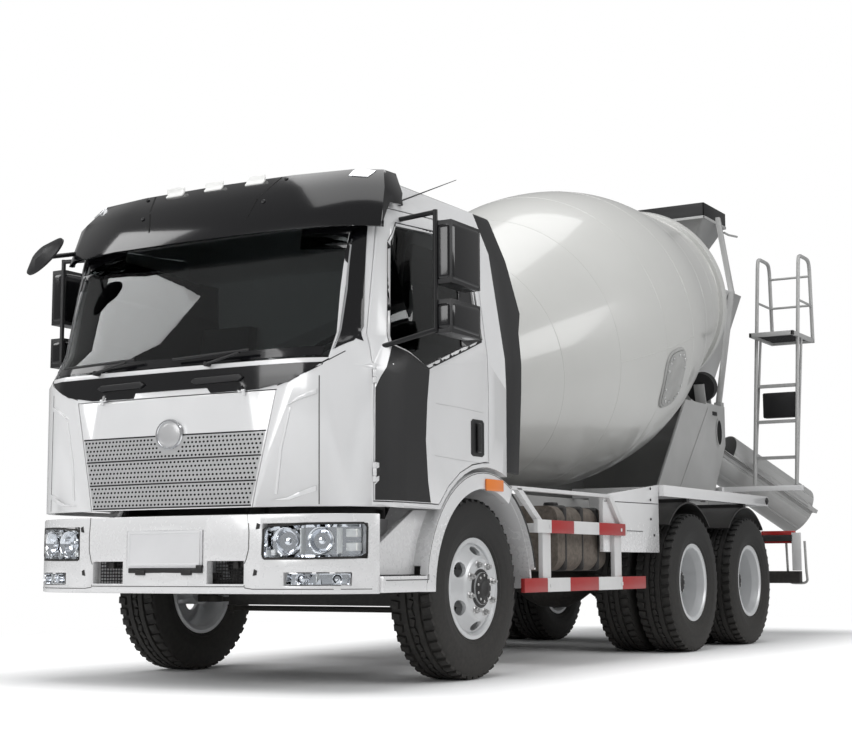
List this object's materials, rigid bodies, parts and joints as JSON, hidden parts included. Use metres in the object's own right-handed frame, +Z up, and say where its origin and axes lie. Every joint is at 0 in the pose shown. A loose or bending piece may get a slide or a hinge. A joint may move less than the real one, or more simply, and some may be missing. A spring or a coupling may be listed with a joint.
{
  "type": "concrete mixer truck",
  "caption": "White forward-control concrete mixer truck with a tilting cab, a revolving drum and a folding discharge chute.",
  "frame": {"origin": "on the ground under the middle of the truck's whole box", "axes": "+Z up; the truck faces -Y and its left side is +X"},
  "size_m": [3, 9.167, 4.21],
  "materials": {
    "cab_paint": "gloss pearl white paint",
    "drum_paint": "gloss light grey paint",
    "body_paint": "grey paint",
    "panel_paint": "white paint",
    "guard_paint": "red and white bands",
    "chassis_paint": "satin black paint",
    "running_gear": "dark paint over castings",
    "front_rim": "silver paint",
    "rear_rim": "grey paint",
    "tyre_rubber": "matt",
    "black_plastic": "grained",
    "gloss_black": "gloss",
    "window_glass": "tinted",
    "lamp_lens": "clear lens over chrome",
    "seat_cloth": "woven",
    "tank_metal": "dusty satin paint"
  },
  "bodies": {
    "truck": {"chassis_frame": "chassis_paint", "engine": "running_gear", "front_axle": "running_gear", "drive_axles": "running_gear", "leaf_springs": "running_gear", "bumper": "cab_paint", "lamps": "lamp_lens", "front_fenders": "cab_paint", "guards": "guard_paint", "fuel_tank": "tank_metal", "battery_box": "chassis_paint", "subframe": "body_paint", "pedestals": "body_paint", "rear_mudguards": "chassis_paint", "side_panels": "panel_paint", "drum_gearbox": "running_gear", "hopper": "body_paint", "ladder": "body_paint"},
    "cab": {"cab_shell": "cab_paint", "cab_arms": "chassis_paint", "windscreen": "window_glass", "visor": "gloss_black", "cab_fins": "black_plastic", "seats": "seat_cloth", "dashboard": "black_plastic", "wipers": "black_plastic", "front_mirror": "black_plastic"},
    "front_flap": {"front_flap": "cab_paint"},
    "door_left": {"door_left": "cab_paint", "door_glass_left": "window_glass", "mirror_left": "black_plastic"},
    "door_right": {"door_right": "cab_paint", "door_glass_right": "window_glass", "mirror_right": "black_plastic"},
    "knuckle_left": {"knuckle_left": "running_gear"},
    "knuckle_right": {"knuckle_right": "running_gear"},
    "tie_rod": {"tie_rod": "running_gear"},
    "wheel_front_left": {"tyre_front_left": "tyre_rubber", "rim_front_left": "front_rim"},
    "wheel_front_right": {"tyre_front_right": "tyre_rubber", "rim_front_right": "front_rim"},
    "wheels_mid_left": {"tyres_mid_left": "tyre_rubber", "rims_mid_left": "rear_rim"},
    "wheels_mid_right": {"tyres_mid_right": "tyre_rubber", "rims_mid_right": "rear_rim"},
    "wheels_rear_left": {"tyres_rear_left": "tyre_rubber", "rims_rear_left": "rear_rim"},
    "wheels_rear_right": {"tyres_rear_right": "tyre_rubber", "rims_rear_right": "rear_rim"},
    "drum": {"drum": "drum_paint"},
    "roller_left": {"roller_left": "running_gear"},
    "roller_right": {"roller_right": "running_gear"},
    "chute_bracket": {"chute_bracket": "body_paint"},
    "chute": {"chute": "body_paint"},
    "chute_extension": {"chute_extension": "body_paint"}
  },
  "joints": [
    {"name": "cab_tilt", "type": "hinge", "parent": "truck", "child": "cab", "pos_m": [0, -4.46846, 0.7], "axis": [1, 0, 0], "range_deg": [0, 50]},
    {"name": "front_flap_open", "type": "hinge", "parent": "cab", "child": "front_flap", "pos_m": [0, -4.54546, 1.637], "axis": [-1, 0, 0], "range_deg": [0, 75]},
    {"name": "door_left_open", "type": "hinge", "parent": "cab", "child": "door_left", "pos_m": [1.186, -4.25496, 1.18], "axis": [0, 0, -1], "range_deg": [0, 70]},
    {"name": "door_right_open", "type": "hinge", "parent": "cab", "child": "door_right", "pos_m": [-1.186, -4.25496, 1.18], "axis": [0, 0, 1], "range_deg": [0, 70]},
    {"name": "steer_left", "type": "hinge", "parent": "truck", "child": "knuckle_left", "pos_m": [0.8, -3.09846, 0.54], "axis": [0, 0, 1], "range_deg": [-35, 35]},
    {"name": "steer_right", "type": "hinge", "parent": "truck", "child": "knuckle_right", "pos_m": [-0.8, -3.09846, 0.54], "axis": [0, 0, 1], "range_deg": [-35, 35]},
    {"name": "tie_rod_turn", "type": "hinge", "parent": "knuckle_left", "child": "tie_rod", "pos_m": [0.8, -2.90846, 0.4], "axis": [0, 0, 1], "range_deg": [-35, 35]},
    {"name": "spin_front_left", "type": "hinge", "parent": "knuckle_left", "child": "wheel_front_left", "pos_m": [1.028, -3.09846, 0.54], "axis": [1, 0, 0], "continuous": true},
    {"name": "spin_front_right", "type": "hinge", "parent": "knuckle_right", "child": "wheel_front_right", "pos_m": [-1.028, -3.09846, 0.54], "axis": [1, 0, 0], "continuous": true},
    {"name": "spin_mid_left", "type": "hinge", "parent": "truck", "child": "wheels_mid_left", "pos_m": [0.915, 0.40154, 0.54], "axis": [1, 0, 0], "continuous": true},
    {"name": "spin_mid_right", "type": "hinge", "parent": "truck", "child": "wheels_mid_right", "pos_m": [-0.915, 0.40154, 0.54], "axis": [1, 0, 0], "continuous": true},
    {"name": "spin_rear_left", "type": "hinge", "parent": "truck", "child": "wheels_rear_left", "pos_m": [0.915, 1.75154, 0.54], "axis": [1, 0, 0], "continuous": true},
    {"name": "spin_rear_right", "type": "hinge", "parent": "truck", "child": "wheels_rear_right", "pos_m": [-0.915, 1.75154, 0.54], "axis": [1, 0, 0], "continuous": true},
    {"name": "drum_spin", "type": "hinge", "parent": "truck", "child": "drum", "pos_m": [0, -1.77646, 1.973], "axis": [0, 0.9603, 0.2788], "continuous": true},
    {"name": "roller_left_spin", "type": "hinge", "parent": "truck", "child": "roller_left", "pos_m": [0.53326, 2.54294, 2.33845], "axis": [0, 0.9603, 0.2788], "continuous": true},
    {"name": "roller_right_spin", "type": "hinge", "parent": "truck", "child": "roller_right", "pos_m": [-0.53326, 2.54294, 2.33845], "axis": [0, 0.9603, 0.2788], "continuous": true},
    {"name": "chute_swing", "type": "hinge", "parent": "truck", "child": "chute_bracket", "pos_m": [0, 3.25154, 1.3], "axis": [0, 0, 1], "range_deg": [-4, 110]},
    {"name": "chute_lift", "type": "hinge", "parent": "chute_bracket", "child": "chute", "pos_m": [0, 3.25154, 2.02], "axis": [0.7986, -0.6018, 0], "range_deg": [-2, 15]},
    {"name": "chute_unfold", "type": "hinge", "parent": "chute", "child": "chute_extension", "pos_m": [0.86598, 4.40073, 1.21232], "axis": [-0.7986, 0.6018, 0], "range_deg": [0, 180]}
  ],
  "couplings": [
    {"joint": "steer_right", "follows": "steer_left", "ratio": 1},
    {"joint": "tie_rod_turn", "follows": "steer_left", "ratio": -1},
    {"joint": "roller_left_spin", "follows": "drum_spin", "ratio": -6.1857},
    {"joint": "roller_right_spin", "follows": "drum_spin", "ratio": -6.1857}
  ]
}
